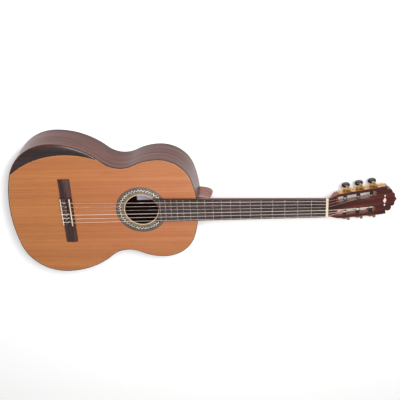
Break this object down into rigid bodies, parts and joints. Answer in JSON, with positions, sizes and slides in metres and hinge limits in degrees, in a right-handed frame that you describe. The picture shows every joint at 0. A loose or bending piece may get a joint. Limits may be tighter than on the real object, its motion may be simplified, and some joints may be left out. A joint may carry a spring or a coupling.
{
  "type": "classical guitar",
  "caption": "Classical guitar with a bevelled arm rest, round soundhole, slotted head and geared tuners whose buttons turn the string rollers.",
  "frame": {"origin": "under the middle of the whole instrument, on the plane of the back that it lies on", "axes": "+X along the strings towards the head, +Y towards the bass side, +Z out of the soundboard"},
  "size_m": [0.9958, 0.3738, 0.1084],
  "materials": {
    "cedar": "gloss lacquer",
    "rosewood_back": "gloss lacquer",
    "back_inlay": "gloss lacquer",
    "rosewood_sides": "gloss lacquer",
    "mahogany_blocks": "bare",
    "ebony_edge": "gloss lacquer",
    "mahogany": "satin lacquer",
    "ebony_board": "oiled",
    "nickel_silver": "polished",
    "bone": "polished",
    "bridge_rosewood": "oiled",
    "bevel_ebony": "gloss lacquer",
    "rosette_mosaic": "gloss lacquer",
    "binding_rosewood": "gloss lacquer",
    "purfling_maple": "gloss lacquer",
    "spruce_inside": "bare",
    "head_veneer": "gloss lacquer",
    "gold_plate": "engraved, gold plated",
    "gold_screws": "gold plated",
    "nylon_treble": "clear nylon",
    "wound_bass": "silvered copper wound on nylon",
    "gold_worm": "gold plated",
    "ebony_button": "polished",
    "roller_black": "satin",
    "gear_brass": "gold plated"
  },
  "bodies": {
    "guitar": {"soundboard": "cedar", "back_bass": "rosewood_back", "back_treble": "rosewood_back", "back_centre_strip": "back_inlay", "side_bass": "rosewood_sides", "side_treble": "rosewood_sides", "tail_block": "mahogany_blocks", "tail_graft": "ebony_edge", "neck": "mahogany", "heel_cap": "ebony_edge", "fretboard": "ebony_board", "frets": "nickel_silver", "nut": "bone", "saddle": "bone", "bridge": "bridge_rosewood", "tie_block_inlay": "bone", "arm_bevel": "bevel_ebony", "rosette": "rosette_mosaic", "binding_top": "binding_rosewood", "binding_back": "binding_rosewood", "purfling_top": "purfling_maple", "lining_top": "spruce_inside", "lining_back": "spruce_inside", "back_braces": "spruce_inside", "harmonic_bars": "spruce_inside", "fan_braces": "spruce_inside", "headplate": "head_veneer", "string_1": "nylon_treble", "string_2": "nylon_treble", "string_3": "nylon_treble", "string_4": "wound_bass", "string_5": "wound_bass", "string_6": "wound_bass", "tuner_plate_bass": "gold_plate", "tuner_plate_treble": "gold_plate", "plate_screws": "gold_screws"},
    "tuner_button_1": {"worm_1": "gold_worm", "button_1": "ebony_button"},
    "tuner_roller_1": {"roller_1": "roller_black", "gear_1": "gear_brass"},
    "tuner_button_2": {"worm_2": "gold_worm", "button_2": "ebony_button"},
    "tuner_roller_2": {"roller_2": "roller_black", "gear_2": "gear_brass"},
    "tuner_button_3": {"worm_3": "gold_worm", "button_3": "ebony_button"},
    "tuner_roller_3": {"roller_3": "roller_black", "gear_3": "gear_brass"},
    "tuner_button_4": {"worm_4": "gold_worm", "button_4": "ebony_button"},
    "tuner_roller_4": {"roller_4": "roller_black", "gear_4": "gear_brass"},
    "tuner_button_5": {"worm_5": "gold_worm", "button_5": "ebony_button"},
    "tuner_roller_5": {"roller_5": "roller_black", "gear_5": "gear_brass"},
    "tuner_button_6": {"worm_6": "gold_worm", "button_6": "ebony_button"},
    "tuner_roller_6": {"roller_6": "roller_black", "gear_6": "gear_brass"}
  },
  "joints": [
    {"name": "button_turn_1", "type": "hinge", "parent": "guitar", "child": "tuner_button_1", "pos_m": [0.37052, -0.04122, 0.07598], "axis": [0.225, 0, 0.9744], "continuous": true},
    {"name": "roller_turn_1", "type": "hinge", "parent": "guitar", "child": "tuner_roller_1", "pos_m": [0.36199, -0.03535, 0.07795], "axis": [0.0413, 0.9991, -0.0095], "continuous": true},
    {"name": "button_turn_2", "type": "hinge", "parent": "guitar", "child": "tuner_button_2", "pos_m": [0.4046, -0.04271, 0.06811], "axis": [0.225, 0, 0.9744], "continuous": true},
    {"name": "roller_turn_2", "type": "hinge", "parent": "guitar", "child": "tuner_roller_2", "pos_m": [0.39606, -0.03683, 0.07008], "axis": [0.0413, 0.9991, -0.0095], "continuous": true},
    {"name": "button_turn_3", "type": "hinge", "parent": "guitar", "child": "tuner_button_3", "pos_m": [0.43867, -0.04419, 0.06025], "axis": [0.225, 0, 0.9744], "continuous": true},
    {"name": "roller_turn_3", "type": "hinge", "parent": "guitar", "child": "tuner_roller_3", "pos_m": [0.43013, -0.03831, 0.06222], "axis": [0.0413, 0.9991, -0.0095], "continuous": true},
    {"name": "button_turn_4", "type": "hinge", "parent": "guitar", "child": "tuner_button_4", "pos_m": [0.43867, 0.04419, 0.06025], "axis": [0.225, 0, 0.9744], "continuous": true},
    {"name": "roller_turn_4", "type": "hinge", "parent": "guitar", "child": "tuner_roller_4", "pos_m": [0.43013, 0.03831, 0.06222], "axis": [-0.0413, 0.9991, 0.0095], "continuous": true},
    {"name": "button_turn_5", "type": "hinge", "parent": "guitar", "child": "tuner_button_5", "pos_m": [0.4046, 0.04271, 0.06811], "axis": [0.225, 0, 0.9744], "continuous": true},
    {"name": "roller_turn_5", "type": "hinge", "parent": "guitar", "child": "tuner_roller_5", "pos_m": [0.39606, 0.03683, 0.07008], "axis": [-0.0413, 0.9991, 0.0095], "continuous": true},
    {"name": "button_turn_6", "type": "hinge", "parent": "guitar", "child": "tuner_button_6", "pos_m": [0.37052, 0.04122, 0.07598], "axis": [0.225, 0, 0.9744], "continuous": true},
    {"name": "roller_turn_6", "type": "hinge", "parent": "guitar", "child": "tuner_roller_6", "pos_m": [0.36199, 0.03535, 0.07795], "axis": [-0.0413, 0.9991, 0.0095], "continuous": true}
  ],
  "couplings": [
    {"joint": "roller_turn_1", "follows": "button_turn_1", "ratio": 0.071429},
    {"joint": "roller_turn_2", "follows": "button_turn_2", "ratio": 0.071429},
    {"joint": "roller_turn_3", "follows": "button_turn_3", "ratio": 0.071429},
    {"joint": "roller_turn_4", "follows": "button_turn_4", "ratio": 0.071429},
    {"joint": "roller_turn_5", "follows": "button_turn_5", "ratio": 0.071429},
    {"joint": "roller_turn_6", "follows": "button_turn_6", "ratio": 0.071429}
  ]
}
